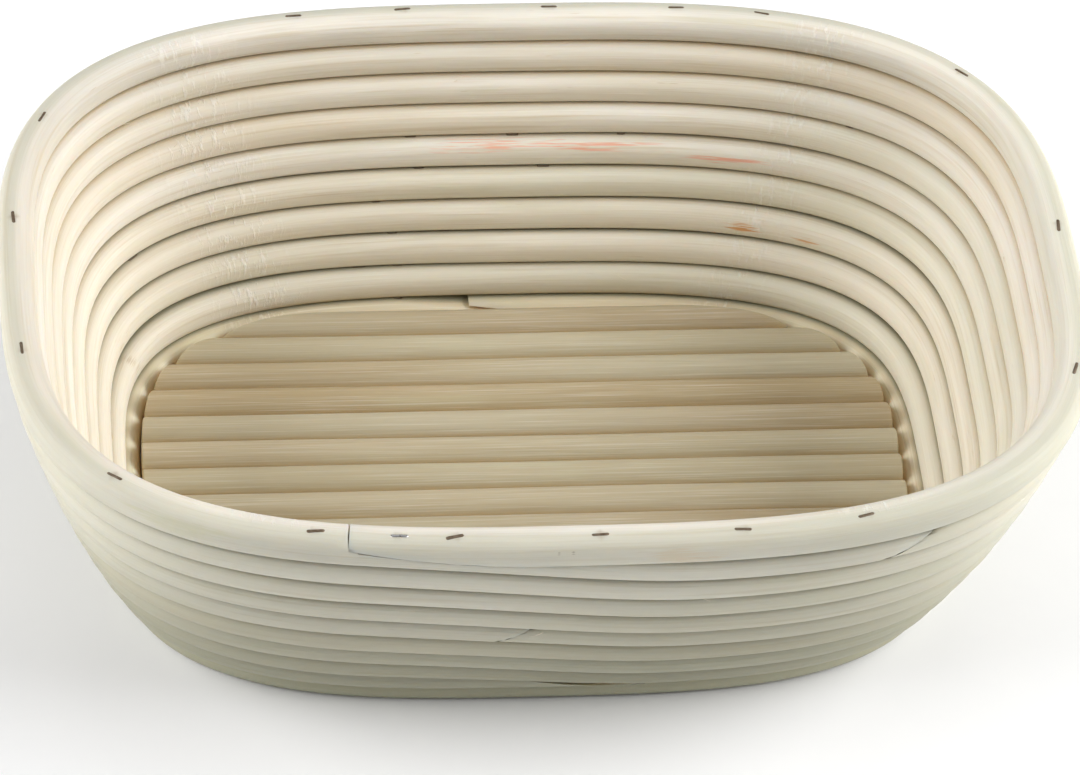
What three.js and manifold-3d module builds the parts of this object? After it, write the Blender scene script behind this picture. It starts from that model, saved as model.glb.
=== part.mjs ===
// Oval proofing basket (banneton) of round peeled cane.
// The wall is a spiral coil of three canes, scarfed end to end, on a closed base hoop. Straight canes
// on three cross battens make the floor, and wire staples hold the rim down to the turn below.
// Millimetres, +Z up. The origin is the middle of the footprint, and the length runs along X.
import * as THREE from "three";
import { mergeVertices } from "three/addons/utils/BufferGeometryUtils.js";
import Module from "manifold-3d";

// Overall sizes
const LENGTH = 285;
const WIDTH = 206;
const CANE = 9.4; // diameter of every cane
const GAP = 0.3; // clearance between neighbouring pieces

// Wall: turn 1 lies on the base hoop, turn 9 is the rim
const TURNS = 9;
const LEAN_AT_FOOT = THREE.MathUtils.degToRad(27); // from upright
const LEAN_AT_RIM = THREE.MathUtils.degToRad(12);
const OVAL_AT_FOOT = 3.3; // superellipse exponents of the plan
const OVAL_AT_RIM = 3.1;
const STEPS_PER_TURN = 48;
const SIDES = 8;
const STEP = 1 / STEPS_PER_TURN;

// Joints, counted in turns along the coil. The rim ends at turn 9, at the front left
const RIM_END_ANGLE = THREE.MathUtils.degToRad(-121);
const CLIMB = 7 * STEP; // the stretch before each whole turn in which the coil climbs one row
const TAPER = 5 * STEP; // the tapered start of the coil on the base hoop
const LOWER_SPLICE = 4 - 3 * STEP;
const MIDDLE_SPLICE = TURNS - 1 - CLIMB - 3 * STEP; // just before the stretch that is notched
const HOOP_SPLICE = 20 * STEP;
const LAP_LENGTH = 55; // along X, under the end of the rim
const LAP_DEPTH = 0.75 * CANE; // planed off the underside of the rim's end

// Floor
const SLATS = 13;
const SLAT_PITCH = 9.9;
const SLAT_SIDES = 12;
const SLAT_END_GAP = 0.8;
const BATTEN_THICKNESS = 3;
const BATTEN_WIDTH = 16;
const BATTEN_SPACING = 62;

// Fasteners
const PIN_RADIUS = 0.6;
const PIN_HEAD_RADIUS = 1.1;
const PIN_HEAD_HEIGHT = 0.6;
const PIN_LENGTH = 16;
const PIN_SUNK = 0.5; // head below the face of the hoop
const STAPLE_WIDTH = 5.2;
const STAPLE_LEG = 12;
const STAPLE_WIRE = 0.8;
const STAPLE_DEPTH = 1.1;
const STAPLE_SUNK = 0.2; // crown below the top of the rim
// Where the staples stand, in degrees about +Z from +X, and how far each is turned off the cane's line
const STAPLES = [
  [4, -6], [30, 4], [54, -6], [65, 3], [84, 0], [107, 5], [122, -4], [156, 2], [172, 6],
  [192, -3], [213, 5], [235, 8], [245, 2], [252, 12], [273, 3], [293, -5], [308, 4], [342, -6],
];

const PALE_CANE = { color: 0xe2d5b8, roughness: 0.7, metalness: 0 };
const FLOOR_CANE = { color: 0xcdb588, roughness: 0.7, metalness: 0 };
const BATTEN_WOOD = { color: 0xc9ab7c, roughness: 0.75, metalness: 0 };
const STAPLE_STEEL = { color: 0x6f6251, roughness: 0.5, metalness: 0.8 };

const RADIUS = CANE / 2;
const PITCH = CANE + GAP; // from row to row, along the wall
const UP = new THREE.Vector3(0, 0, 1);
const { lerp, clamp, smoothstep, degToRad } = THREE.MathUtils;

const wasm = await Module();
wasm.setup();
const basket = new THREE.Group();

// ---- Solids ----

function solidOf(geometry) {
  geometry.deleteAttribute("normal");
  geometry.deleteAttribute("uv");
  const merged = mergeVertices(geometry, 1e-4);
  return new wasm.Manifold(
    new wasm.Mesh({
      numProp: 3,
      vertProperties: merged.attributes.position.array,
      triVerts: new Uint32Array(merged.index.array),
    }),
  );
}

function geometryOf(solid) {
  const mesh = solid.getMesh();
  const geometry = new THREE.BufferGeometry();
  geometry.setAttribute("position", new THREE.BufferAttribute(mesh.vertProperties, 3));
  geometry.setIndex(new THREE.BufferAttribute(mesh.triVerts, 1));
  geometry.computeVertexNormals();
  return geometry;
}

function add(name, solid, look) {
  const mesh = new THREE.Mesh(geometryOf(solid), new THREE.MeshStandardMaterial(look));
  mesh.name = name;
  basket.add(mesh);
}

// ---- The shape of the wall ----

// In section the wall is an arc: its lean falls evenly from the foot to the rim.
const LEAN_PER_ROW = (LEAN_AT_RIM - LEAN_AT_FOOT) / TURNS;

function leanAt(row) {
  return LEAN_AT_FOOT + LEAN_PER_ROW * row;
}

function outwardTo(row) {
  return (PITCH / LEAN_PER_ROW) * (Math.cos(LEAN_AT_FOOT) - Math.cos(leanAt(row)));
}

function heightOf(row) {
  return RADIUS + (PITCH / LEAN_PER_ROW) * (Math.sin(leanAt(row)) - Math.sin(LEAN_AT_FOOT));
}

const FOOT_HALF_LENGTH = LENGTH / 2 - RADIUS - outwardTo(TURNS);
const FOOT_HALF_WIDTH = WIDTH / 2 - RADIUS - outwardTo(TURNS);

function ovalRadius(angle, halfLength, halfWidth, exponent) {
  const x = Math.abs(Math.cos(angle) / halfLength) ** exponent;
  const y = Math.abs(Math.sin(angle) / halfWidth) ** exponent;
  return (x + y) ** (-1 / exponent);
}

// The centre of a cane at an angle about +Z, on a row that may be a fraction.
function wallPoint(angle, row) {
  const out = outwardTo(row);
  const exponent = lerp(OVAL_AT_FOOT, OVAL_AT_RIM, out / outwardTo(TURNS));
  const radius = ovalRadius(angle, FOOT_HALF_LENGTH + out, FOOT_HALF_WIDTH + out, exponent);
  return new THREE.Vector3(radius * Math.cos(angle), radius * Math.sin(angle), heightOf(row));
}

// The coil runs clockwise seen from above. It keeps level, then climbs one row before each whole turn.
function angleAt(turn) {
  return RIM_END_ANGLE - 2 * Math.PI * turn;
}

function coilRow(turn) {
  const whole = Math.floor(turn);
  return clamp(1 + whole + smoothstep(turn - whole, 1 - CLIMB, 1), 1, TURNS);
}

function hoopRow() {
  return 0;
}

// ---- Canes ----

// A stretch of cane between two turns. Its points keep to the same steps of angle all round the coil,
// so that neighbouring rows keep step and two stretches meet exactly.
class CanePath extends THREE.Curve {
  constructor(rowAt, from, to) {
    super();
    this.rowAt = rowAt;
    this.from = from;
    this.to = to;
  }
  turnAt(share) {
    return STEP * Math.round(lerp(this.from, this.to, share) / STEP);
  }
  pointAtTurn(turn) {
    return wallPoint(angleAt(turn), this.rowAt(turn));
  }
  getPoint(share) {
    return this.pointAtTurn(this.turnAt(share));
  }
  getUtoTmapping(share) {
    return share;
  }
  // The section stays upright: its first axis points out of the basket and its second one up.
  computeFrenetFrames(segments) {
    const frames = { tangents: [], normals: [], binormals: [] };
    for (let i = 0; i <= segments; i++) {
      const turn = this.turnAt(i / segments);
      const tangent = this.pointAtTurn(turn + STEP / 4).sub(this.pointAtTurn(turn - STEP / 4)).normalize();
      const normal = UP.clone().cross(tangent).normalize();
      frames.tangents.push(tangent);
      frames.normals.push(normal);
      frames.binormals.push(tangent.clone().cross(normal));
    }
    return frames;
  }
}

const caneSection = new THREE.Shape(
  Array.from({ length: SIDES }, (_, i) => {
    const angle = (2 * Math.PI * i) / SIDES;
    return new THREE.Vector2(RADIUS * Math.cos(angle), RADIUS * Math.sin(angle));
  }),
);

function tube(rowAt, from, to) {
  const extrudePath = new CanePath(rowAt, from, to);
  const steps = Math.round((to - from) / STEP);
  return solidOf(new THREE.ExtrudeGeometry(caneSection, { extrudePath, steps }));
}

// A block on one side of the slanted face of a scarf joint, two steps long, centred on a turn.
// Side +1 is the upper side, which the ending cane loses, and side -1 the lower side.
function scarfBlock(rowAt, turn, side) {
  const path = new CanePath(rowAt, turn - STEP, turn + STEP);
  const frame = path.computeFrenetFrames(2);
  const along = frame.tangents[1].clone();
  const outward = frame.normals[1];
  const run = path.getPoint(0).distanceTo(path.getPoint(1));
  along.applyAxisAngle(outward, Math.atan2(CANE, run));
  const across = along.clone().cross(outward);
  const centre = path.getPoint(0.5).addScaledVector(across, side * (CANE - GAP / 2));
  const block = new THREE.BoxGeometry(4 * run, 4 * CANE, 2 * CANE);
  const placed = new THREE.Matrix4().makeBasis(along, outward, across).setPosition(centre);
  return solidOf(block.applyMatrix4(placed));
}

const END_STEPS = 3 * STEP; // the last stretch of a cane, which is cut before it is joined on

function scarfedStart(rowAt, turn) {
  return tube(rowAt, turn - STEP, turn - STEP + END_STEPS).subtract(scarfBlock(rowAt, turn, -1));
}

function scarfedEnd(rowAt, turn) {
  return tube(rowAt, turn + STEP - END_STEPS, turn + STEP).subtract(scarfBlock(rowAt, turn, 1));
}

// A block over the front of the basket with the given outline in X and Z.
function frontBlock(outline) {
  const shape = new THREE.Shape(outline.map(([x, z]) => new THREE.Vector2(x, z)));
  const block = new THREE.ExtrudeGeometry(shape, { depth: WIDTH / 2, bevelEnabled: false, steps: 1 });
  return solidOf(block.rotateX(Math.PI / 2));
}

const rimEnd = wallPoint(RIM_END_ANGLE, TURNS);
const lapStart = rimEnd.x + LAP_LENGTH;
const climbStart = wallPoint(angleAt(-CLIMB), TURNS).x;

// The rim's end is planed on its underside, and the turn below is notched to take it.
function lapUnderside(drop) {
  const bottom = rimEnd.z - RADIUS - drop;
  return [
    [lapStart, bottom],
    [rimEnd.x, bottom + LAP_DEPTH],
  ];
}

function rimLap() {
  const [start, end] = lapUnderside(0);
  const slope = (end[1] - start[1]) / LAP_LENGTH;
  const below = frontBlock([
    start,
    [lapStart, start[1] - CANE],
    [rimEnd.x - CANE, start[1] - CANE],
    [rimEnd.x - CANE, end[1] + slope * CANE],
  ]);
  return tube(coilRow, TURNS - CLIMB - STEP, TURNS).subtract(below);
}

function lapNotch() {
  const [start, end] = lapUnderside(GAP);
  const shoulder = rimEnd.x - 2 * GAP;
  const top = rimEnd.z + CANE;
  const above = frontBlock([
    [climbStart, start[1]],
    [climbStart, top],
    [shoulder, top],
    [shoulder, end[1]],
    [rimEnd.x, end[1]],
    start,
  ]);
  return tube(coilRow, TURNS - 1 - CLIMB - STEP, TURNS - 1 + STEP).subtract(above);
}

function taperedStart() {
  const centre = heightOf(1);
  const taperStart = wallPoint(angleAt(-TAPER), 1).x;
  const taperEnd = wallPoint(RIM_END_ANGLE, 1).x;
  const above = frontBlock([
    [taperStart + CANE, centre - RADIUS - CANE],
    [taperStart + CANE, centre + CANE],
    [taperEnd, centre + CANE],
    [taperEnd, centre + RADIUS],
    [taperStart, centre - RADIUS],
  ]);
  return tube(coilRow, -TAPER, STEP).subtract(above);
}

function lowerCane() {
  const body = tube(coilRow, STEP, LOWER_SPLICE + STEP - END_STEPS);
  return body.add(taperedStart()).add(scarfedEnd(coilRow, LOWER_SPLICE));
}

function middleCane() {
  const body = tube(coilRow, LOWER_SPLICE - STEP + END_STEPS, MIDDLE_SPLICE + STEP - END_STEPS);
  return body.add(scarfedStart(coilRow, LOWER_SPLICE)).add(scarfedEnd(coilRow, MIDDLE_SPLICE));
}

function rimCane() {
  return scarfedStart(coilRow, MIDDLE_SPLICE)
    .add(lapNotch())
    .add(tube(coilRow, TURNS - 1 + STEP, TURNS - CLIMB - STEP))
    .add(rimLap());
}

function baseHoop() {
  const next = HOOP_SPLICE + 1;
  return tube(hoopRow, HOOP_SPLICE - STEP + END_STEPS, next + STEP - END_STEPS)
    .add(scarfedStart(hoopRow, HOOP_SPLICE))
    .add(scarfedEnd(hoopRow, next));
}

// ---- Floor ----

// The upright column inside the base hoop, which trims the slats and battens to the oval.
function floorColumn() {
  const inset = RADIUS + SLAT_END_GAP;
  const outline = Array.from({ length: STEPS_PER_TURN }, (_, i) => {
    const angle = 2 * Math.PI * i * STEP;
    const radius = ovalRadius(angle, FOOT_HALF_LENGTH - inset, FOOT_HALF_WIDTH - inset, OVAL_AT_FOOT);
    return new THREE.Vector2(radius * Math.cos(angle), radius * Math.sin(angle));
  });
  const column = new THREE.ExtrudeGeometry(new THREE.Shape(outline), {
    depth: 4 * CANE,
    bevelEnabled: false,
  });
  return solidOf(column.translate(0, 0, -CANE));
}

function floorSlat(y, column) {
  const round = new THREE.CylinderGeometry(RADIUS, RADIUS, LENGTH, SLAT_SIDES);
  round.rotateZ(Math.PI / 2).translate(0, y, BATTEN_THICKNESS + GAP + RADIUS);
  return solidOf(round).intersect(column);
}

function crossBatten(x, column) {
  const strip = new THREE.BoxGeometry(BATTEN_WIDTH, WIDTH, BATTEN_THICKNESS);
  strip.translate(x, 0, BATTEN_THICKNESS / 2);
  return solidOf(strip).intersect(column);
}

// ---- Fasteners ----

// A wire nail along Y, driven from outside the hoop towards the middle; side is +1 at the back.
// Its head is sunk in the hoop, and clearance fattens it into a hole that is open outwards.
function battenPin(x, side, clearance) {
  const pinHeight = BATTEN_THICKNESS / 2;
  const face = hoopWidthAt(x) + Math.sqrt(RADIUS ** 2 - (RADIUS - pinHeight) ** 2);
  const head = face - PIN_SUNK - PIN_HEAD_HEIGHT;
  const shank = PIN_RADIUS + clearance;
  const top = PIN_HEAD_HEIGHT + clearance * CANE;
  const profile = [
    [0, -PIN_LENGTH - clearance],
    [shank, -PIN_LENGTH - clearance],
    [shank, -clearance],
    [PIN_HEAD_RADIUS + clearance, -clearance],
    [PIN_HEAD_RADIUS + clearance, top],
    [0, top],
  ];
  const pin = new THREE.LatheGeometry(profile.map(([r, y]) => new THREE.Vector2(r, y)), 8);
  pin.translate(0, head, 0);
  if (side < 0) pin.rotateZ(Math.PI);
  return solidOf(pin.translate(x, 0, pinHeight));
}

function hoopWidthAt(x) {
  const share = 1 - Math.abs(x / FOOT_HALF_LENGTH) ** OVAL_AT_FOOT;
  return FOOT_HALF_WIDTH * share ** (1 / OVAL_AT_FOOT);
}

// A staple with its crown along the rim and its legs down the wall; clearance fattens it into a slot.
function rimStaple(angle, twist, clearance) {
  const half = STAPLE_WIDTH / 2 + clearance;
  const wire = STAPLE_WIRE + 2 * clearance;
  const top = clearance * CANE;
  const shape = new THREE.Shape(
    [
      [-half, top],
      [-half, -STAPLE_LEG - clearance],
      [-half + wire, -STAPLE_LEG - clearance],
      [-half + wire, -STAPLE_WIRE - clearance],
      [half - wire, -STAPLE_WIRE - clearance],
      [half - wire, -STAPLE_LEG - clearance],
      [half, -STAPLE_LEG - clearance],
      [half, top],
    ].map(([x, y]) => new THREE.Vector2(x, y)),
  );
  const depth = STAPLE_DEPTH + 2 * clearance;
  const staple = new THREE.ExtrudeGeometry(shape, { depth, bevelEnabled: false });
  const tangent = wallPoint(angle - 0.01, TURNS).sub(wallPoint(angle + 0.01, TURNS)).normalize();
  const outward = UP.clone().cross(tangent);
  const legs = UP.clone().applyAxisAngle(tangent, -leanAt(TURNS));
  tangent.applyAxisAngle(legs, degToRad(twist));
  const placed = new THREE.Matrix4().makeBasis(tangent, legs, tangent.clone().cross(legs));
  placed.setPosition(wallPoint(angle, TURNS).addScaledVector(legs, RADIUS - STAPLE_SUNK));
  return solidOf(staple.translate(0, 0, -depth / 2).applyMatrix4(placed));
}

// ---- Assembly ----

const pins = [];
for (const x of [-BATTEN_SPACING, 0, BATTEN_SPACING]) {
  for (const side of [-1, 1]) pins.push({ x, side });
}
const cutStapleSlots = (cane) =>
  STAPLES.reduce((left, [angle, twist]) => left.subtract(rimStaple(degToRad(angle), twist, GAP)), cane);
const cutPinHoles = (piece) =>
  pins.reduce((left, { x, side }) => left.subtract(battenPin(x, side, GAP)), piece);

add("base_hoop", cutPinHoles(baseHoop()), PALE_CANE);
add("lower_cane", lowerCane(), PALE_CANE);
add("middle_cane", cutStapleSlots(middleCane()), PALE_CANE);
add("rim_cane", cutStapleSlots(rimCane()), PALE_CANE);

const column = floorColumn();
for (let i = 0; i < SLATS; i++) {
  const y = (i - (SLATS - 1) / 2) * SLAT_PITCH;
  add(`floor_slat_${i + 1}`, floorSlat(y, column), FLOOR_CANE);
}
[-1, 0, 1].forEach((place, i) => {
  add(`cross_batten_${i + 1}`, cutPinHoles(crossBatten(place * BATTEN_SPACING, column)), BATTEN_WOOD);
});
pins.forEach(({ x, side }, i) => {
  add(`batten_pin_${i + 1}`, battenPin(x, side, 0), STAPLE_STEEL);
});
STAPLES.forEach(([angle, twist], i) => {
  add(`rim_staple_${i + 1}`, rimStaple(degToRad(angle), twist, 0), STAPLE_STEEL);
});

export default basket;
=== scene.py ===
import math
import random

import bpy
import numpy as np
from mathutils import Matrix, Vector


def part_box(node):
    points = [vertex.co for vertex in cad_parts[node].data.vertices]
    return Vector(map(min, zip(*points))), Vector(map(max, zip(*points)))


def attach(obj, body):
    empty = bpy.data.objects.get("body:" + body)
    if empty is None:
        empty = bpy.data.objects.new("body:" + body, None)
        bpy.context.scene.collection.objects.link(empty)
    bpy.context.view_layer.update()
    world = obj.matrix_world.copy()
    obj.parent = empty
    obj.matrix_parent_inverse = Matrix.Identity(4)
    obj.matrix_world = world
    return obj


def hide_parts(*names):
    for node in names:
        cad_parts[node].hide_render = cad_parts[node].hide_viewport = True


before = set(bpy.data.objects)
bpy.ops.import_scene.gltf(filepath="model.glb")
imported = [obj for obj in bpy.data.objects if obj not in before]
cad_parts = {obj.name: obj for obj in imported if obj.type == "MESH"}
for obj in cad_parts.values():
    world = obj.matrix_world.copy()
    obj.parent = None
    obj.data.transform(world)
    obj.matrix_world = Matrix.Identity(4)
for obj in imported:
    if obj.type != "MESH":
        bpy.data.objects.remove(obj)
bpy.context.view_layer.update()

# An oval proofing basket: a coil of round peeled cane on a hoop, a floor of straight canes on battens,
# and wire staples and nails. Lengths are in metres and angles are about +Z from +X. Rows count canes up
# the wall from the hoop, and turns count rounds of the coil.

MM = 0.001

# ---- Sizes, read from the frame ----

hoop_low, hoop_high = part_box("base_hoop")
CANE = hoop_high.z - hoop_low.z
RADIUS = CANE / 2
PITCH = CANE + 0.3 * MM  # from row to row along the wall
FOOT_A = (hoop_high.x - hoop_low.x) / 2 - RADIUS
FOOT_B = (hoop_high.y - hoop_low.y) / 2 - RADIUS
TURNS = 9
LEAN_FOOT = math.radians(27)
LEAN_RIM = math.radians(12)
LEAN_STEP = (LEAN_RIM - LEAN_FOOT) / TURNS
OVAL_FOOT, OVAL_RIM = 3.3, 3.1
END_ANGLE = math.radians(-121)  # where the rim ends, at the front left
STEP = 1 / 48  # of a turn, the unit for places along the coil
CLIMB = 7 * STEP  # the last part of each turn, where the coil climbs a row
LOWER_SPLICE = 4 - 3 * STEP  # turns at which two lengths of cane meet
MIDDLE_SPLICE = TURNS - 1 - CLIMB - 3 * STEP
HOOP_SPLICE = 24.3 * STEP
HOOP_SLANT = 11.0  # the hoop's joint is cut this much longer than the others
HOOP_GAP = 0.5 * MM
LAP_LENGTH = 55 * MM  # of the slant under the rim's end
LAP_DEPTH = 0.75 * CANE
WIDE_OPEN = 1.0  # a limit that cuts nothing
SLAT_GAP = 0.25 * MM  # from the ends of the floor canes to the hoop
SLAT_HALF_WIDTH = 4.93 * MM
BATTEN_GAP = 0.8 * MM
BATTENS = 3
STAPLES = 18


def smooth(value, low, high):
    share = np.clip((value - low) / (high - low), 0, 1)
    return share * share * (3 - 2 * share)


def lean_at(row):
    return LEAN_FOOT + LEAN_STEP * row


def outward_to(row):
    return PITCH / LEAN_STEP * (math.cos(LEAN_FOOT) - np.cos(lean_at(row)))


def height_of(row):
    return RADIUS + PITCH / LEAN_STEP * (np.sin(lean_at(row)) - math.sin(LEAN_FOOT))


def oval(angle, half_length, half_width, exponent):
    x = np.abs(np.cos(angle) / half_length) ** exponent
    y = np.abs(np.sin(angle) / half_width) ** exponent
    return (x + y) ** (-1 / exponent)


def wall_points(angle, row):
    """Cane centres at angles about +Z, on rows that may be fractions."""
    out = outward_to(row)
    exponent = OVAL_FOOT + (OVAL_RIM - OVAL_FOOT) * out / outward_to(TURNS)
    radius = oval(angle, FOOT_A + out, FOOT_B + out, exponent)
    heights = height_of(row) + 0 * radius
    return np.stack([radius * np.cos(angle), radius * np.sin(angle), heights], axis=-1)


def angle_at(turn):
    return END_ANGLE - 2 * math.pi * turn


def coil_row(turn):
    whole = np.floor(turn)
    return np.clip(1 + whole + smooth(turn - whole, 1 - CLIMB, 1), 1, TURNS)


def hoop_row(turn):
    return 0 * turn


def unit(vectors):
    return vectors / np.linalg.norm(vectors, axis=-1, keepdims=True)


def waves(position, seed, sizes):
    """A smooth seeded wobble between about -1 and 1, along a line; sizes are its wavelengths."""
    dice = np.random.default_rng(seed)
    total = 0
    for size in sizes:
        total = total + np.sin(2 * math.pi * (position / size + dice.random()))
    return total / len(sizes)


# ---- Meshes ----

COLLECTION = bpy.context.scene.collection


def new_piece(name, points, faces, material, layers=None):
    mesh = bpy.data.meshes.new(name)
    mesh.from_pydata([tuple(p) for p in points], [], faces)
    mesh.update()
    mesh.shade_smooth()
    mesh.set_sharp_from_angle(angle=math.radians(38))
    for layer, values in (layers or {}).items():
        attribute = mesh.attributes.new(layer, "FLOAT_VECTOR", "POINT")
        attribute.data.foreach_set("vector", np.asarray(values, dtype=np.float32).ravel())
    mesh.materials.append(material)
    piece = bpy.data.objects.new(name, mesh)
    COLLECTION.objects.link(piece)
    return piece


def skin(rings, sides):
    """Faces of a closed tube of rings, with a fan at each end."""
    faces = []
    for i in range(rings - 1):
        a, b = i * sides, (i + 1) * sides
        for k in range(sides):
            after = (k + 1) % sides
            faces.append((a + k, a + after, b + after, b + k))
    faces.append(tuple(range(sides))[::-1])
    faces.append(tuple(range((rings - 1) * sides, rings * sides)))
    return faces


SQUARENESS = 0.84  # 1 is a round section; less is squarer
WALL_SIDES = 28
FINE = 264  # rings in one turn
CORNER_SCUFFS = ((137, 5, 1.0), (46, 4, 0.8), (-50, 5, 0.7), (-131, 6, 0.7))  # bearing, spread, strength
BRUISE_REACH = 4.2 * MM  # how far the brown round a staple reaches


def squared(around):
    """A round section pressed a little square by its neighbours."""
    c, s = np.cos(around), np.sin(around)
    return np.sign(c) * np.abs(c) ** SQUARENESS, np.sign(s) * np.abs(s) ** SQUARENESS


def trim_limits(trims, turns, centres, radius):
    """The lowest and highest place in the section that the trims leave at each ring."""
    floor, roof = -radius, radius
    for trim in trims:
        low, high = trim(turns, centres)
        floor, roof = np.maximum(floor, low), np.minimum(roof, high)
    return np.minimum(floor, 0.97 * radius), np.maximum(roof, -0.97 * radius)


def planed(across, height, r, floor, roof):
    """Moves the points of each section onto the flat faces that planing leaves."""
    kept = np.clip(height, floor[:, None], roof[:, None])
    chord = r * np.maximum(1 - np.abs(kept / r) ** (2 / SQUARENESS), 0) ** (SQUARENESS / 2)
    return np.where(kept != height, np.clip(across, -chord, chord), across), kept


def wall_marks(points, staples, inner):
    """How near a staple each point is, and how scuffed it is at the tight bends inside."""
    marks = np.zeros_like(points)
    for place in staples:
        near = np.linalg.norm(points - place[None, None, :], axis=-1)
        marks[..., 0] = np.maximum(marks[..., 0], np.clip(1 - near / BRUISE_REACH, 0, 1))
    bearing = np.degrees(np.arctan2(points[..., 1], points[..., 0]))
    for corner, spread, strength in CORNER_SCUFFS:
        there = strength * np.exp(-(((bearing - corner) / spread) ** 2))
        marks[..., 1] = np.maximum(marks[..., 1], there * inner)
    return marks


def cane_tube(name, row_at, start, end, seed, material, trims=(), staples=()):
    """A cane swept along the coil between two turns, with its ends planed by the trims."""
    rings = int(round((end - start) * FINE)) + 1
    turns = np.linspace(start, end, rings)
    centres = wall_points(angle_at(turns), row_at(turns))
    nudge = 0.002
    ahead = wall_points(angle_at(turns + nudge), row_at(turns + nudge))
    behind = wall_points(angle_at(turns - nudge), row_at(turns - nudge))
    along = unit(ahead - behind)
    out = unit(np.cross(np.array([0, 0, 1.0]), along))
    up = np.cross(along, out)
    length = np.concatenate([[0], np.cumsum(np.linalg.norm(np.diff(centres, axis=0), axis=1))])
    swell = 1 + 0.012 * waves(length, seed, [0.23, 0.31, 0.57])
    wander = 0.22 * MM * waves(length, seed + 1, [0.19, 0.41])
    radius = PITCH / 2 * swell
    around = np.linspace(0, 2 * math.pi, WALL_SIDES, endpoint=False)
    # Peeled cane is never quite round: soft flats run along it
    flats = 1 + 0.010 * np.cos(3 * around[None, :] + 6 * waves(length, seed + 2, [0.5, 0.9])[:, None])
    r = radius[:, None] * flats
    c, s = squared(around)
    floor, roof = trim_limits(trims, turns, centres, radius)
    across, height = planed(r * c, r * s, r, floor, roof)
    across += wander[:, None]
    points = centres[:, None, :] + across[..., None] * out[:, None, :] + height[..., None] * up[:, None, :]
    fibre = np.empty_like(points)
    fibre[..., 0] = length[:, None] + 3.7 * seed
    fibre[..., 1] = RADIUS * c
    fibre[..., 2] = RADIUS * s
    marks = wall_marks(points, staples, inner=c[None, :] < 0.2)
    layers = {"fibre": fibre.reshape(-1, 3), "marks": marks.reshape(-1, 3)}
    return new_piece(name, points.reshape(-1, 3), skin(rings, WALL_SIDES), material, layers)


def place_at(row_at, turn):
    return wall_points(np.array([angle_at(turn)]), row_at(np.array([float(turn)])))[0]


def scarf(row_at, turn, side, stretch=1.0, gap=0.11 * MM):
    """Planes a cane's end along a slant; side +1 takes the upper side away and -1 the lower."""
    centre = place_at(row_at, turn)
    ahead, behind = place_at(row_at, turn + STEP / 2), place_at(row_at, turn - STEP / 2)
    run = np.linalg.norm(ahead - behind)
    along = (ahead - behind) / run

    def trim(turns, centres):
        plane = -((centres - centre) @ along) * CANE / run / stretch
        near = np.abs(turns - turn) < STEP * stretch
        low = np.where(near & (side < 0), plane + gap, -WIDE_OPEN)
        high = np.where(near & (side > 0), plane - gap, WIDE_OPEN)
        return low, high

    return trim


rim_end = place_at(coil_row, TURNS)
lap_start = rim_end[0] + LAP_LENGTH


def lap_height(x):
    """The slanted face under the rim's end."""
    return rim_end[2] - PITCH / 2 + LAP_DEPTH / LAP_LENGTH * np.clip(lap_start - x, 0, LAP_LENGTH)


def rim_lap(turns, centres):
    """The rim's end is planed thinner from below."""
    near = turns > TURNS - CLIMB - STEP
    return np.where(near, lap_height(centres[:, 0]) - centres[:, 2], -WIDE_OPEN), WIDE_OPEN


def lap_notch(turns, centres):
    """The turn below is cut away to take the rim's end, and rises as a shoulder beyond it."""
    x = centres[:, 0]
    near = (np.abs(turns - (TURNS - 1)) < CLIMB + STEP) & (x > rim_end[0] - 0.5 * MM)
    pressed = 1.5 * MM * smooth(x, lap_start - 25 * MM, lap_start)
    return -WIDE_OPEN, np.where(near, lap_height(x) - 0.25 * MM + pressed - centres[:, 2], WIDE_OPEN)


def first_taper(turns, centres):
    """The coil starts as a thin tongue under the turn that climbs over it."""
    above = height_of(coil_row(turns + 1)) - PITCH / 2 + 0.6 * MM
    return -WIDE_OPEN, np.where(turns < 0, above - centres[:, 2], WIDE_OPEN)


# ---- Materials ----


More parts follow.
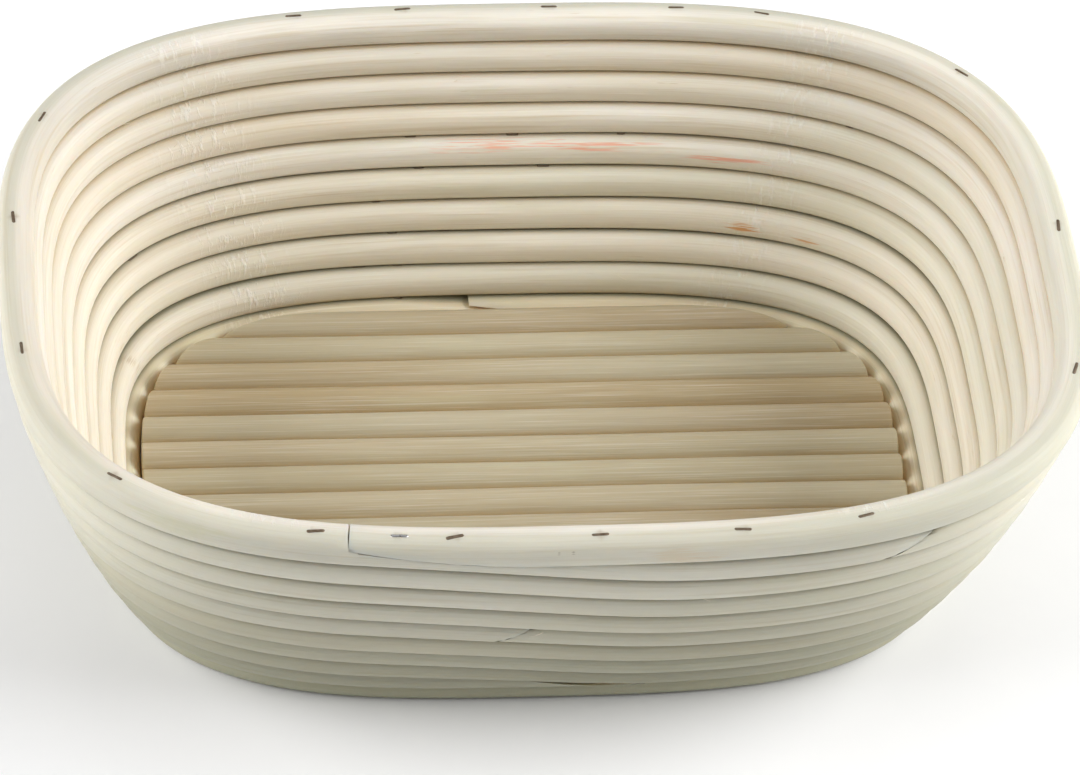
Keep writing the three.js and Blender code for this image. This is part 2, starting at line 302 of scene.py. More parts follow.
class Nodes:
    """Short names for building one material's nodes."""

    def __init__(self, name):
        self.material = bpy.data.materials.new(name)
        self.material.use_nodes = True
        self.tree = self.material.node_tree
        self.shader = self.tree.nodes["Principled BSDF"]

    def node(self, kind, **values):
        made = self.tree.nodes.new(kind)
        for key, value in values.items():
            setattr(made, key, value)
        return made

    def link(self, out, into):
        self.tree.links.new(out, into)

    def put(self, socket, value):
        if isinstance(value, bpy.types.NodeSocket):
            self.link(value, socket)
        else:
            socket.default_value = value

    def layer(self, name):
        return self.node("ShaderNodeAttribute", attribute_name=name).outputs["Vector"]

    def math(self, operation, a, b):
        made = self.node("ShaderNodeMath", operation=operation)
        self.put(made.inputs[0], a)
        self.put(made.inputs[1], b)
        return made.outputs[0]

    def vector(self, operation, a, b=(0, 0, 0), output="Vector"):
        made = self.node("ShaderNodeVectorMath", operation=operation)
        self.put(made.inputs[0], a)
        self.put(made.inputs[1], b)
        return made.outputs[output]

    def parts(self, vector):
        made = self.node("ShaderNodeSeparateXYZ")
        self.link(vector, made.inputs[0])
        return made.outputs

    def stretched(self, vector, scale, shift=(0, 0, 0)):
        made = self.node("ShaderNodeMapping")
        self.put(made.inputs["Vector"], vector)
        made.inputs["Scale"].default_value = scale
        made.inputs["Location"].default_value = shift
        return made.outputs[0]

    def noise(self, vector, scale=1.0, detail=2.0, roughness=0.5):
        made = self.node("ShaderNodeTexNoise")
        self.put(made.inputs["Vector"], vector)
        made.inputs["Scale"].default_value = scale
        made.inputs["Detail"].default_value = detail
        made.inputs["Roughness"].default_value = roughness
        return made.outputs["Fac"]

    def ramp(self, value, low, high, out_low=0.0, out_high=1.0):
        made = self.node("ShaderNodeMapRange", interpolation_type="SMOOTHSTEP")
        self.put(made.inputs["Value"], value)
        made.inputs["From Min"].default_value = low
        made.inputs["From Max"].default_value = high
        made.inputs["To Min"].default_value = out_low
        made.inputs["To Max"].default_value = out_high
        return made.outputs[0]

    def mix(self, share, a, b):
        made = self.node("ShaderNodeMix", data_type="RGBA")
        self.put(made.inputs[0], share)
        self.put(made.inputs[6], a)
        self.put(made.inputs[7], b)
        return made.outputs[2]

    def bump(self, height, strength, distance, under=None):
        made = self.node("ShaderNodeBump")
        made.inputs["Strength"].default_value = strength
        made.inputs["Distance"].default_value = distance
        self.put(made.inputs["Height"], height)
        if under is not None:
            self.link(under, made.inputs["Normal"])
        return made.outputs[0]


PALE_FIBRE = (0.88, 0.85, 0.77, 1)
TORN_FIBRE = (0.88, 0.86, 0.80, 1)
GREEN_SKIN = (0.58, 0.55, 0.37, 1)
RUDDY_SKIN = (0.70, 0.50, 0.34, 1)
GREEN_CAST = (0.60, 0.60, 0.47, 1)
BROWN_CAST = (0.70, 0.58, 0.40, 1)
BRUISE = (0.36, 0.24, 0.12, 1)
SPLIT = (0.42, 0.28, 0.12, 1)
# Painted shade: in the grooves inside and out, on the outer side of the wall and at its foot
WARM_GROOVE_SHADE = (0.62, 0.46, 0.24, 1)
OUTSIDE_SHADE = (0.50, 0.50, 0.39, 1)
DARK_GROOVE_SHADE = (0.13, 0.12, 0.07, 1)
FOOT_SHADE = (0.25, 0.25, 0.17, 1)


def skin_patches(n, fibre, colour):
    """Patches where the skin of the cane was left, and the cast of each length, greener or browner."""
    patch = n.noise(n.stretched(fibre, (17, 170, 170), (1.3, 2, 0)), detail=2, roughness=0.5)
    colour = n.mix(n.ramp(patch, 0.60, 0.78, 0, 0.35), colour, GREEN_SKIN)
    ruddy = n.noise(n.stretched(fibre, (11, 210, 210), (7.7, 0, 3)), detail=2, roughness=0.5)
    colour = n.mix(n.ramp(ruddy, 0.66, 0.80, 0, 0.28), colour, RUDDY_SKIN)
    cast = n.noise(n.stretched(fibre, (2.3, 4, 4), (0, 0, 5)), detail=1, roughness=0.4)
    colour = n.mix(n.ramp(cast, 0.52, 0.36, 0, 0.32), colour, GREEN_CAST)
    return n.mix(n.ramp(cast, 0.54, 0.68, 0, 0.35), colour, BROWN_CAST)


def stained(n, place, colour, stains, ragged):
    """Streaks with ragged soft edges; a stain is (place, half sizes, colour, strength)."""
    for where, size, tone, strength in stains:
        scaled = n.vector("DIVIDE", n.vector("SUBTRACT", place, where), size)
        distance = n.math("ADD", n.vector("LENGTH", scaled, output="Value"), ragged)
        colour = n.mix(n.ramp(distance, 1.0, 0.25, 0, strength), colour, tone)
    return colour


def painted_shade(n, fibre, place, colour):
    """Painted shade: warm brown in the inside grooves, dark outside grooves, a darker greyer outside and a
    darker foot.
    """
    outside = n.ramp(n.parts(fibre)["Y"], -2 * MM, 2 * MM)
    # Ambient occlusion finds the grooves between the canes, where shade is painted
    groove = n.node("ShaderNodeAmbientOcclusion", samples=6, inside=False)
    groove.inputs["Distance"].default_value = 6 * MM
    n.put(groove.inputs["Color"], colour)
    inner_groove_shade = n.ramp(groove.outputs["AO"], 0.62, 0.25, 0, 1)
    colour = n.mix(n.math("MULTIPLY", inner_groove_shade, n.ramp(outside, 1, 0, 0, 0.75)), colour, WARM_GROOVE_SHADE)
    # The outer side of each cane is painted darker and greyer, as shade
    colour = n.mix(n.ramp(outside, 0, 1, 0, 0.50), colour, OUTSIDE_SHADE)
    # The grooves on the outside are painted dark, as shade
    outer_groove_shade = n.ramp(groove.outputs["AO"], 0.80, 0.25, 0, 1)
    colour = n.mix(n.math("MULTIPLY", outer_groove_shade, n.ramp(outside, 0, 1, 0, 0.90)), colour, DARK_GROOVE_SHADE)
    # The outside is painted darker towards the foot, as shade
    foot_shade_share = n.ramp(n.parts(place)["Z"], 80 * MM, 0.0, 0.06, 0.72)
    return n.mix(n.math("MULTIPLY", foot_shade_share, outside), colour, FOOT_SHADE)


def cane_finish(n, bundles, hairs, torn):
    """Satin fibres that stand up a little and let some light through."""
    gloss = n.math("ADD", n.ramp(bundles, 0.3, 0.7, 0.46, 0.62), n.ramp(torn, 0, 1, 0, 0.2))
    n.link(gloss, n.shader.inputs["Roughness"])
    n.shader.inputs["Specular IOR Level"].default_value = 0.35
    n.shader.inputs["Subsurface Weight"].default_value = 0.4
    n.shader.inputs["Subsurface Radius"].default_value = (4.8 * MM, 3.4 * MM, 2.0 * MM)
    n.shader.inputs["Subsurface Scale"].default_value = 1.0
    normal = n.bump(bundles, 0.35, 0.6 * MM)
    normal = n.bump(hairs, 0.35, 0.2 * MM, normal)
    n.link(n.bump(torn, 0.5, 0.4 * MM, normal), n.shader.inputs["Normal"])


def cane_material(name, pale, deep, tan, bright=1.0, stains=()):
    """Peeled rattan: fine pale fibres along the cane, slow changes of tint, scuffs and marks.

    The fibre layer holds the length along the cane and the place in its section. The marks layer
    holds how near a staple is and how scuffed the cane is."""
    n = Nodes(name)
    fibre, marks = n.layer("fibre"), n.parts(n.layer("marks"))
    place = n.node("ShaderNodeTexCoord").outputs["Object"]

    # Tint: slow drift along each cane, then bundles of fibres, then single hair-thin fibres
    drift = n.noise(n.stretched(fibre, (9, 60, 60)), detail=3, roughness=0.6)
    bundles = n.noise(n.stretched(fibre, (14, 620, 620)), detail=3, roughness=0.62)
    hairs = n.noise(n.stretched(fibre, (26, 2600, 2600)), detail=2, roughness=0.6)
    flecks = n.noise(n.stretched(fibre, (90, 2400, 2400), (5, 0, 0)), detail=2, roughness=0.7)
    colour = n.mix(n.ramp(drift, 0.36, 0.68), pale, deep)
    colour = n.mix(n.ramp(bundles, 0.50, 0.78, 0, 0.55), colour, tan)
    colour = n.mix(n.ramp(hairs, 0.52, 0.80, 0, 0.30), colour, tan)
    colour = n.mix(n.ramp(hairs, 0.50, 0.22, 0, 0.35), colour, PALE_FIBRE)
    colour = n.mix(n.ramp(flecks, 0.70, 0.80, 0, 0.55), colour, SPLIT)
    colour = skin_patches(n, fibre, colour)

    # Torn pale fibres across the tight bends, where the skin of the cane has cracked
    scuff = n.noise(n.stretched(fibre, (640, 210, 210), (0, 9, 0)), detail=4, roughness=0.7)
    torn = n.math("MULTIPLY", n.ramp(scuff, 0.50, 0.64), marks["Y"])
    colour = n.mix(n.math("MULTIPLY", torn, 0.5), colour, TORN_FIBRE)

    ragged = n.math("ADD", n.ramp(bundles, 0.3, 0.7, -0.6, 0.6), n.ramp(flecks, 0.3, 0.7, -0.5, 0.5))
    colour = stained(n, place, colour, stains, ragged)
    colour = n.mix(n.ramp(marks["X"], 0.45, 0.95, 0, 0.75), colour, BRUISE)
    # Painted shade in the grooves, on the outer side of the wall and towards its foot
    colour = painted_shade(n, fibre, place, colour)

    tone = n.node("ShaderNodeHueSaturation")
    tone.inputs["Value"].default_value = bright
    n.put(tone.inputs["Color"], colour)
    n.link(tone.outputs[0], n.shader.inputs["Base Color"])
    cane_finish(n, bundles, hairs, torn)
    return n.material


def place_on_wall(angle, row, side):
    """A point on the wall's surface: side -1 is the inside and +1 the outside."""
    turned = np.array([math.radians(angle)])
    point = wall_points(turned, np.array([float(row)]))[0]
    away = unit(np.array([point[0], point[1], 0.0]))
    return Vector(point + away * side * RADIUS)


PALE = (0.81, 0.765, 0.68, 1)
DEEP = (0.76, 0.70, 0.58, 1)
TAN = (0.58, 0.475, 0.315, 1)
RED_STREAK = (0.84, 0.30, 0.17, 1)
ORANGE = (0.66, 0.30, 0.07, 1)
BROWN_SPECK = (0.16, 0.10, 0.06, 1)
BROWN_DRIP = (0.45, 0.33, 0.17, 1)
TAN_PATCH = (0.78, 0.52, 0.28, 1)
GREEN_PATCH = (0.66, 0.63, 0.40, 1)

wall_stains = [
    (place_on_wall(92, 5.36, -1), (0.020, 0.02, 0.0011), RED_STREAK, 0.6),
    (place_on_wall(73, 5.30, -1), (0.021, 0.02, 0.0012), RED_STREAK, 0.65),
    (place_on_wall(53, 5.12, -1), (0.011, 0.02, 0.0010), RED_STREAK, 0.65),
    (place_on_wall(48, 3.0, -1), (0.0042, 0.01, 0.0016), ORANGE, 0.85),
    (place_on_wall(39, 2.95, -1), (0.003, 0.006, 0.0012), ORANGE, 0.7),
    (place_on_wall(160, 1.5, -1), (0.004, 0.0022, 0.007), BROWN_DRIP, 0.45),
    (place_on_wall(-93, 9.25, 1), (0.0006, 0.002, 0.0009), BROWN_SPECK, 0.9),
    (place_on_wall(-91, 9.25, 1), (0.0006, 0.002, 0.0009), BROWN_SPECK, 0.9),
    (place_on_wall(-76, 9.0, 1), (0.008, 0.01, 0.003), TAN_PATCH, 0.5),
    (place_on_wall(-138, 9.0, 1), (0.012, 0.01, 0.004), GREEN_PATCH, 0.5),
]
hoop_cane = cane_material("hoop_cane", (0.62, 0.555, 0.42, 1), (0.57, 0.50, 0.36, 1), TAN, bright=1.28)
lower_cane = cane_material("lower_wall_cane", (0.79, 0.735, 0.62, 1), DEEP, TAN, stains=wall_stains)
middle_cane = cane_material("middle_wall_cane", PALE, DEEP, TAN, stains=wall_stains)
rim_material = cane_material("rim_cane_pale", (0.68, 0.645, 0.57, 1), PALE, TAN, stains=wall_stains)
floor_warm = cane_material(
    "floor_cane_warm",
    pale=(0.50, 0.415, 0.27, 1),
    deep=(0.455, 0.365, 0.22, 1),
    tan=(0.38, 0.275, 0.145, 1),
)
floor_pale = cane_material(
    "floor_cane_pale",
    pale=(0.52, 0.445, 0.305, 1),
    deep=(0.475, 0.395, 0.255, 1),
    tan=(0.39, 0.295, 0.165, 1),
)
floor_pink = cane_material(
    "floor_cane_pink",
    pale=(0.495, 0.41, 0.275, 1),
    deep=(0.45, 0.365, 0.23, 1),
    tan=(0.38, 0.28, 0.155, 1),
)


def wood_material():
    n = Nodes("planed_batten_wood")
    place = n.node("ShaderNodeTexCoord").outputs["Object"]
    rings = n.noise(n.stretched(place, (420, 18, 420)), detail=4, roughness=0.6)
    pores = n.noise(n.stretched(place, (2400, 90, 2400)), detail=2, roughness=0.6)
    saw = n.noise(n.stretched(place, (60, 900, 60)), detail=2, roughness=0.5)
    colour = n.mix(n.ramp(rings, 0.35, 0.70), (0.66, 0.50, 0.30, 1), (0.50, 0.34, 0.18, 1))
    colour = n.mix(n.ramp(pores, 0.62, 0.78, 0, 0.7), colour, (0.28, 0.17, 0.08, 1))
    n.link(colour, n.shader.inputs["Base Color"])
    n.link(n.ramp(rings, 0.3, 0.7, 0.6, 0.78), n.shader.inputs["Roughness"])
    normal = n.bump(pores, 0.4, 0.3 * MM)
    n.link(n.bump(saw, 0.25, 0.3 * MM, normal), n.shader.inputs["Normal"])
    return n.material


def wire_material(name, clean, dull, rust, metallic, rough):
    n = Nodes(name)
    place = n.node("ShaderNodeTexCoord").outputs["Object"]
    tarnish = n.noise(place, scale=900, detail=3, roughness=0.6)
    specks = n.noise(place, scale=2600, detail=2, roughness=0.6)
    colour = n.mix(n.ramp(tarnish, 0.38, 0.66), clean, dull)
    colour = n.mix(n.ramp(specks, 0.55, 0.72, 0, 0.8), colour, rust)
    n.link(colour, n.shader.inputs["Base Color"])
    n.shader.inputs["Metallic"].default_value = metallic
    n.link(n.ramp(tarnish, 0.3, 0.7, rough, rough + 0.25), n.shader.inputs["Roughness"])
    n.link(n.bump(specks, 0.3, 0.1 * MM), n.shader.inputs["Normal"])
    return n.material


batten_wood = wood_material()
brown_wire = wire_material(
    "tarnished_wire",
    clean=(0.19, 0.145, 0.10, 1),
    dull=(0.13, 0.09, 0.055, 1),
    rust=(0.08, 0.045, 0.025, 1),
    metallic=0.4,
    rough=0.45,
)
clean_wire = wire_material(
    "clean_wire",
    clean=(0.62, 0.62, 0.63, 1),
    dull=(0.40, 0.39, 0.38, 1),
    rust=(0.25, 0.17, 0.10, 1),
    metallic=0.9,
    rough=0.25,
)


# ---- The wall ----


def staple_crown(name):
    """The middle of a staple's crown and the line it lies along, from the CAD node's own corners."""
    corners = np.array([v.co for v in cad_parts[name].data.vertices])
    heights = corners[:, 2]
    top = corners[heights > heights.max() - 0.9 * MM]
    middle = top.mean(axis=0)
    level = top - middle
    line = np.linalg.svd(level)[2][0]
    return middle, line if line[0] >= 0 else -line


crowns = {i: staple_crown(f"rim_staple_{i}") for i in range(1, STAPLES + 1)}
crown_places = [middle for middle, line in crowns.values()]


def wall_piece(piece, node):
    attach(piece, "root")
    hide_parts(node)


half = STEP / 2
wall_piece(
    cane_tube(
        "coil_start_cane", coil_row, -CLIMB + 0.35 * STEP, LOWER_SPLICE + half, 21, lower_cane,
        trims=[first_taper, scarf(coil_row, LOWER_SPLICE, 1)],
    ),
    "lower_cane",
)
wall_piece(
    cane_tube(
        "coil_middle_cane", coil_row, LOWER_SPLICE - half, MIDDLE_SPLICE + half, 34, middle_cane,
        trims=[scarf(coil_row, LOWER_SPLICE, -1), scarf(coil_row, MIDDLE_SPLICE, 1)],
    ),
    "middle_cane",
)
wall_piece(
    cane_tube(
        "coil_rim_cane", coil_row, MIDDLE_SPLICE - half, TURNS, 47, rim_material,
        trims=[scarf(coil_row, MIDDLE_SPLICE, -1), lap_notch, rim_lap], staples=crown_places,
    ),
    "rim_cane",
)
hoop_half = HOOP_SLANT * half
wall_piece(
    cane_tube(
        "foot_hoop_cane", hoop_row, HOOP_SPLICE - hoop_half, HOOP_SPLICE + 1 + hoop_half, 58, hoop_cane,
        trims=[
            scarf(hoop_row, HOOP_SPLICE, -1, HOOP_SLANT, HOOP_GAP),
            scarf(hoop_row, HOOP_SPLICE + 1, 1, HOOP_SLANT, HOOP_GAP),
        ],
    ),
    "base_hoop",
)


# ---- The floor ----


def floor_edge(y):
    """Half the length of the floor at a distance from its long axis."""
    half_width = FOOT_B - RADIUS - SLAT_GAP
    half_length = FOOT_A - RADIUS - SLAT_GAP
    share = 1 - np.abs(np.clip(y / half_width, -0.9999, 0.9999)) ** OVAL_FOOT
    return half_length * share ** (1 / OVAL_FOOT)


SLAT_SIDES = 26
SLAT_TONES = [
    floor_warm, floor_pale, floor_warm, floor_pale, floor_pink, floor_pale, floor_warm,
    floor_pale, floor_pink, floor_warm, floor_pale, floor_warm, floor_pink,
]
INSIDE_SHIFT = -5 * RADIUS  # moves a slat's section in the fibre layer, so that all of it counts as inside


def slat(index):
    low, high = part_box(f"floor_slat_{index}")
    y, z = (low.y + high.y) / 2, (low.z + high.z) / 2
    seed = 100 + index
    dice = random.Random(seed)
    grow = 1 + dice.uniform(-0.012, 0.018)
    shares = np.concatenate([[-1, -0.997], np.linspace(-0.985, 0.985, 61), [0.997, 1]])
    narrow = np.where(np.abs(shares) > 0.999, 0.93, 1.0)
    along = shares * floor_edge(y)
    swell = 1 + 0.010 * waves(along, seed, [0.11, 0.23])
    around = np.linspace(0, 2 * math.pi, SLAT_SIDES, endpoint=False)
    c, s = np.cos(around), np.sin(around)
    wide = SLAT_HALF_WIDTH * grow
    tall = RADIUS * min(grow, 1.0)
    ys = y + (narrow * swell)[:, None] * wide * c[None, :]
    zs = z + (narrow * swell)[:, None] * tall * s[None, :]
    ys += 0.15 * MM * waves(along, seed + 7, [0.17, 0.33])[:, None]
    xs = shares[:, None] * floor_edge(ys)
    points = np.stack([xs, ys, zs], axis=-1)
    fibre = np.empty_like(points)
    fibre[..., 0] = xs + 1.9 * index
    fibre[..., 1] = RADIUS * c + INSIDE_SHIFT
    fibre[..., 2] = RADIUS * s
    layers = {"fibre": fibre.reshape(-1, 3), "marks": np.zeros((points.size // 3, 3))}
    faces = skin(len(shares), SLAT_SIDES)
    piece = new_piece(f"floor_cane_{index}", points.reshape(-1, 3), faces, SLAT_TONES[index - 1], layers)
    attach(piece, "root")
    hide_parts(f"floor_slat_{index}")


for i in range(1, len(SLAT_TONES) + 1):
    slat(i)


def rounded_box(low, high, edge):
    """Cross-section of a strip in X and Z with its edges broken."""
    return [
        (low.x + edge, low.z), (high.x - edge, low.z), (high.x, low.z + edge), (high.x, high.z - edge),
        (high.x - edge, high.z), (low.x + edge, high.z), (low.x, high.z - edge), (low.x, low.z + edge),
    ]


def edge_depth(x):
    """Half the width of the floor at a distance from its short axis."""
    half_width = FOOT_B - RADIUS - BATTEN_GAP
    half_length = FOOT_A - RADIUS - BATTEN_GAP
    return half_width * (1 - abs(x / half_length) ** OVAL_FOOT) ** (1 / OVAL_FOOT)


def batten(index):
    low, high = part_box(f"cross_batten_{index}")
    middle = (low + high) / 2
    outline = rounded_box(low, high, 0.5 * MM)
    shares = [-1, -0.994] + [i / 12 for i in range(-11, 12)] + [0.994, 1]
    points = []
    for share in shares:
        shrink = 0.9 if abs(share) == 1 else 1.0
        bow = 0.05 * MM * math.sin(9 * share + index)
        for x, z in outline:
            x = middle.x + (x - middle.x) * (1 - 0.03 * (1 - shrink)) + bow
            z = middle.z + (z - middle.z) * shrink
            points.append((x, share * edge_depth(x), max(z, low.z)))
    faces = skin(len(shares), len(outline))
    piece = new_piece(f"batten_{index}", points, [f[::-1] for f in faces], batten_wood)
    for face in piece.data.polygons:
        face.use_smooth = False
    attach(piece, "root")
    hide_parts(f"cross_batten_{index}")


for i in range(1, BATTENS + 1):
    batten(i)


# ---- Fasteners ----


def wire_tube(name, path, wide, tall, normal, material, sides=10):
    """A flattened wire along points; normal is the side that its tall axis faces."""
    path = [Vector(p) for p in path]
    points = []
    for i, place in enumerate(path):
        along = (path[min(i + 1, len(path) - 1)] - path[max(i - 1, 0)]).normalized()
        side = along.cross(Vector(normal)).normalized()
        rise = side.cross(along)
        end = 0.55 if i in (0, len(path) - 1) else 1.0
        for k in range(sides):
            turn = 2 * math.pi * k / sides
            across, up = wide / 2 * math.cos(turn), tall / 2 * math.sin(turn)
            points.append(place + end * (across * side + up * rise))
    return new_piece(name, points, skin(len(path), sides), material)


STAPLE_WIDTH = 4.7 * MM
STAPLE_BEND = 0.8 * MM  # radius of the bend at each shoulder
BEND_STEPS = 5
SHINY_STAPLE = 13


def rim_staple(index):
    """A wire staple with bent shoulders, its legs driven into the rim."""
    low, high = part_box(f"rim_staple_{index}")
    centre, line = (Vector(v) for v in crowns[index])
    line.normalize()
    away = Vector((centre.x, centre.y, 0)).normalized()
    legs = Vector((0, 0, -1)) * math.cos(LEAN_RIM) - away * math.sin(LEAN_RIM)
    legs = (legs - line * legs.dot(line)).normalized()
    crown = centre - legs * 0.48 * MM
    drop = high.z - low.z - 3 * MM

    def leg(end):
        return [crown + line * end * STAPLE_WIDTH / 2 + legs * depth for depth in (drop, STAPLE_BEND)]

    def shoulder(end):
        made = []
        for step in range(1, BEND_STEPS):
            turn = math.pi / 2 * step / BEND_STEPS
            reach = STAPLE_WIDTH / 2 - STAPLE_BEND * (1 - math.cos(turn))
            made.append(crown + line * end * reach + legs * STAPLE_BEND * (1 - math.sin(turn)))
        return made

    flat = STAPLE_WIDTH - 2 * STAPLE_BEND
    top = []
    for share in (0.2, 0.5, 0.8):
        dent = 0.06 * MM * math.sin(3 * share)
        top.append(crown + line * flat * (share - 0.5) + legs * dent)
    path = leg(-1) + shoulder(-1) + top + shoulder(1)[::-1] + leg(1)[::-1]
    wire = clean_wire if index == SHINY_STAPLE else brown_wire
    piece = wire_tube(f"rim_wire_staple_{index}", path, 1.0 * MM, 0.7 * MM, -legs, wire)
    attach(piece, "root")
    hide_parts(f"rim_staple_{index}")


for i in range(1, STAPLES + 1):
    rim_staple(i)


def lathe(name, profile, origin, axis, material, sides=20):
    """A turned piece: profile holds (distance along the axis, radius)."""
    axis = Vector(axis)
    side = Vector((1, 0, 0))
    other = axis.cross(side)
    points = []
    for along, radius in profile:
        for k in range(sides):
            turn = 2 * math.pi * k / sides
            spoke = side * math.cos(turn) + other * math.sin(turn)
            points.append(Vector(origin) + axis * along + radius * spoke)
    return new_piece(name, points, skin(len(profile), sides), material)


def batten_pin(index):
    """A nail through the hoop into the end of a batten: a domed head, a shank and a point."""
    low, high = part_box(f"batten_pin_{index}")
    back = high.y + low.y > 0
    outer = high.y if back else low.y
    axis = (0, -1 if back else 1, 0)
    x, z = (low.x + high.x) / 2, (low.z + high.z) / 2
    length = high.y - low.y
    head, shank = (high.x - low.x) / 2, 0.6 * MM
    profile = [
        (0, 0.3 * head),
        (0.05 * MM, 0.75 * head),
        (0.18 * MM, 0.97 * head),
        (0.42 * MM, head),
        (0.6 * MM, 0.94 * head),
        (0.66 * MM, shank),
        (length - 2 * MM, shank),
        (length, 0.15 * MM),
    ]
    piece = lathe(f"batten_nail_{index}", profile, (x, outer, z), axis, brown_wire)
    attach(piece, "root")
    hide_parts(f"batten_pin_{index}")


for i in range(1, 2 * BATTENS + 1):
    batten_pin(i)


# ---- Small staples that hold each turn to the one below, seen as dark ends in the grooves ----

# Bearing in degrees and row; a half row is the groove above a whole one
INSIDE_STAPLES = [
    (107, 5.5), (89, 5.5), (70, 5.5), (106, 4.5), (83, 4.5), (114, 3.5), (112, 2.5), (119, 1.5),
    (112, 1.5), (113, 0.5), (69, 0.5), (54, 0.5), (40, 6.5), (150, 3.5), (-30, 4.5), (205, 3.5),
]
OUTSIDE_STAPLES = [(-84, 6.5), (-70, 5.5), (-101, 4.5), (-126, 6.5), (-52, 3.5), (-95, 2.5), (-78, 1.5)]
CROWN_OUT = 2.0 * MM  # from the middle of the wall to a groove staple's crown
CROWN_LIFT = 0.35 * MM
ENDS_IN = 1.6 * MM  # how far a groove staple's ends go in behind its crown


def groove_staple(index, bearing, row, side):
    """A thin crown along a groove with its ends bent in; side -1 is the inside and +1 the outside."""
    angle = math.radians(bearing)
    points = wall_points(np.array([angle - 0.012, angle, angle + 0.012]), np.array([row] * 3))
    line = Vector(unit(points[2] - points[0]))
    away = Vector((points[1][0], points[1][1], 0)).normalized()
    centre = Vector(points[1]) + away * side * CROWN_OUT + Vector((0, 0, CROWN_LIFT))
    reach = (1.1 + 0.8 * math.sin(5.3 * index) ** 2) * MM
    path = [centre + line * reach * share for share in (-0.9, -0.8, -0.45, 0, 0.45, 0.8, 0.9)]
    for end in (0, -1):
        path[end] -= away * side * ENDS_IN
    piece = wire_tube(f"groove_staple_{index}", path, 0.3 * MM, 0.35 * MM, Vector((0, 0, 1)), brown_wire, 8)
    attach(piece, "root")


for i, (bearing, row) in enumerate(INSIDE_STAPLES + OUTSIDE_STAPLES, 1):
    groove_staple(i, bearing, row, -1 if i <= len(INSIDE_STAPLES) else 1)


# ---- Loose fibres torn up from the canes ----


def fibre_material():
    n = Nodes("loose_fibre")
    place = n.node("ShaderNodeTexCoord").outputs["Object"]
    colour = n.mix(n.noise(place, scale=180, detail=2), (0.86, 0.83, 0.75, 1), (0.70, 0.62, 0.47, 1))
    n.link(colour, n.shader.inputs["Base Color"])
    n.link(n.ramp(n.noise(place, scale=700), 0.3, 0.7, 0.5, 0.8), n.shader.inputs["Roughness"])
    return n.material


def loose_fibres(count):
    """Short curled hairs on the wall, more than half of them inside at the two back corners."""
    dice = random.Random(71)
    points, faces = [], []
    sides, steps = 5, 6
    back_corners = (137, 46)
    for _ in range(count):
        if dice.random() < 0.6:
            bearing, side = dice.gauss(dice.choice(back_corners), 7), -1
        else:
            bearing, side = dice.uniform(0, 360), dice.choice((-1, 1))
        angle, row = math.radians(bearing), dice.choice(range(1, 9))
        base = wall_points(np.array([angle, angle + 0.01]), np.array([row] * 2))
        line = Vector(unit(base[1] - base[0]))
        away = Vector((base[0][0], base[0][1], 0)).normalized() * side
        tilt = dice.uniform(-0.7, 0.9)
        out = (away * math.cos(tilt) + Vector((0, 0, 1)) * math.sin(tilt)).normalized()
        start = Vector(base[0]) + out * (PITCH / 2 - 0.15 * MM)
        reach = dice.uniform(1.5, 4.5) * MM
        way = (line * dice.choice((-1, 1)) + Vector((0, 0, dice.uniform(-0.8, 0.8)))).normalized()
        lift = dice.uniform(0.1, 0.35)
        over = way.cross(out).normalized()
        first = len(points)
        for i in range(steps):
            share = i / (steps - 1)
            centre = start + way * reach * share + out * reach * lift * share * (1.3 - share)
            thick = 0.13 * MM * (1 - 0.8 * share)
            for k in range(sides):
                turn = 2 * math.pi * k / sides
                points.append(centre + thick * (over * math.cos(turn) + out * math.sin(turn)))
        faces += [tuple(first + v for v in face) for face in skin(steps, sides)]
    piece = new_piece("loose_fibres", points, faces, fibre_material())
    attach(piece, "root")


loose_fibres(150)


# ---- Floor of the scene, light and camera ----


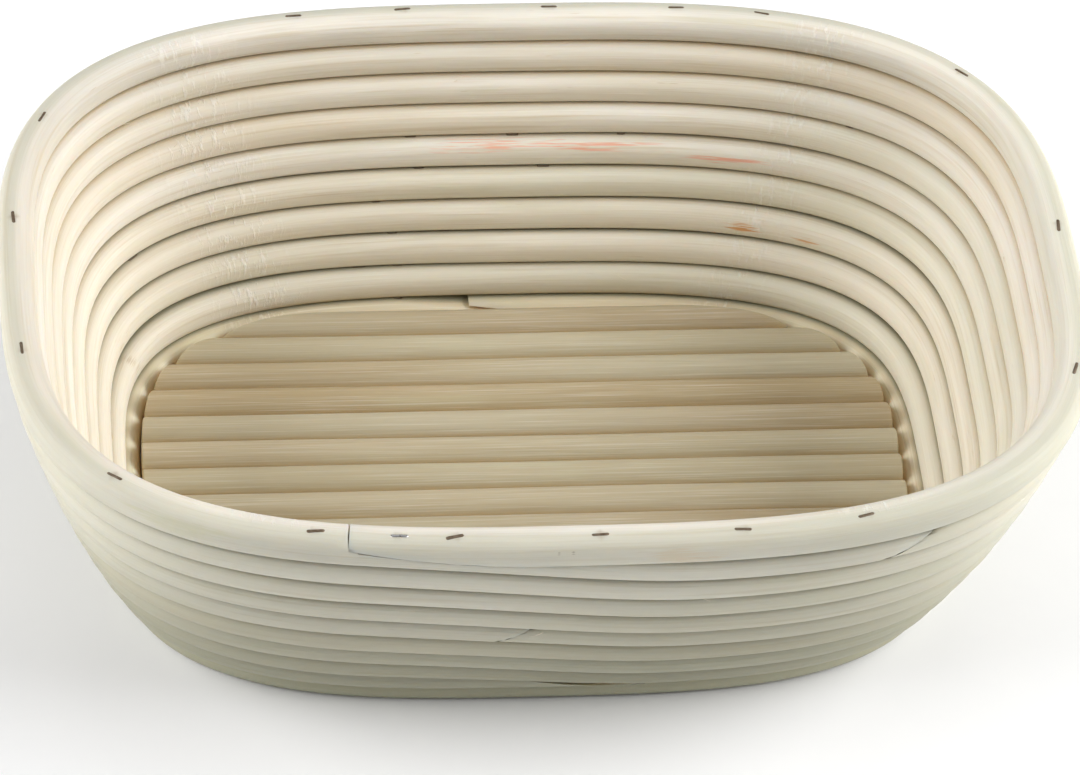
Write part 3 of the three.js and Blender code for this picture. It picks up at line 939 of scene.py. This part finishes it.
def studio_floor():
    reach, level = 3.0, -0.2 * MM
    corners = [(reach * x, reach * y, level) for x, y in ((-1, -1), (1, -1), (1, 1), (-1, 1))]
    mesh = bpy.data.meshes.new("studio_floor")
    mesh.from_pydata(corners, [], [(0, 1, 2, 3)])
    floor = bpy.data.objects.new("studio_floor", mesh)
    COLLECTION.objects.link(floor)
    n = Nodes("studio_paper")
    place = n.node("ShaderNodeTexCoord").outputs["Object"]
    colour = n.mix(n.noise(place, scale=40, detail=3), (0.92, 0.92, 0.93, 1), (0.94, 0.94, 0.95, 1))
    n.link(colour, n.shader.inputs["Base Color"])
    n.shader.inputs["Roughness"].default_value = 0.9
    mesh.materials.append(n.material)


def area_light(name, place, aim, size, power):
    data = bpy.data.lights.new(name, "AREA")
    data.shape = "RECTANGLE"
    data.size, data.size_y = size
    data.energy = power
    lamp = bpy.data.objects.new(name, data)
    lamp.location = place
    lamp.rotation_euler = (Vector(aim) - Vector(place)).to_track_quat("-Z", "Y").to_euler()
    COLLECTION.objects.link(lamp)


studio_floor()
area_light("overhead_softbox", (0.05, 0.45, 1.45), (0, 0, 0.04), (1.3, 1.1), 3.3)
area_light("right_panel", (1.25, -0.12, 0.80), (-0.02, 0, 0.04), (1.1, 1.0), 29)
area_light("left_panel", (-1.25, -0.10, 0.80), (0.02, 0, 0.04), (1.1, 1.0), 22)

world = bpy.data.worlds.new("studio")
world.use_nodes = True
background = world.node_tree.nodes["Background"]
background.inputs["Color"].default_value = (1, 1, 1, 1)
background.inputs["Strength"].default_value = 0.07
bpy.context.scene.world = world
bpy.context.scene.view_settings.view_transform = "Standard"


def camera():
    azimuth, elevation, roll = math.radians(8.92), math.radians(45.24), math.radians(5.24)
    distance, target = 1.6, Vector((0.002, 0, 0.0435))
    forward = Vector((
        math.sin(azimuth) * math.cos(elevation),
        math.cos(azimuth) * math.cos(elevation),
        -math.sin(elevation),
    ))
    right = Vector((math.cos(azimuth), -math.sin(azimuth), 0))
    up = right.cross(forward)
    side = right * math.cos(roll) + up * math.sin(roll)
    top = -right * math.sin(roll) + up * math.cos(roll)
    data = bpy.data.cameras.new("camera")
    data.sensor_width = 36
    data.lens = 198.9
    data.clip_end = 20
    made = bpy.data.objects.new("camera", data)
    rotation = Matrix((side, top, -forward)).transposed().to_4x4()
    made.matrix_world = Matrix.Translation(target - forward * distance) @ rotation
    COLLECTION.objects.link(made)
    bpy.context.scene.camera = made


camera()

bpy.context.view_layer.update()
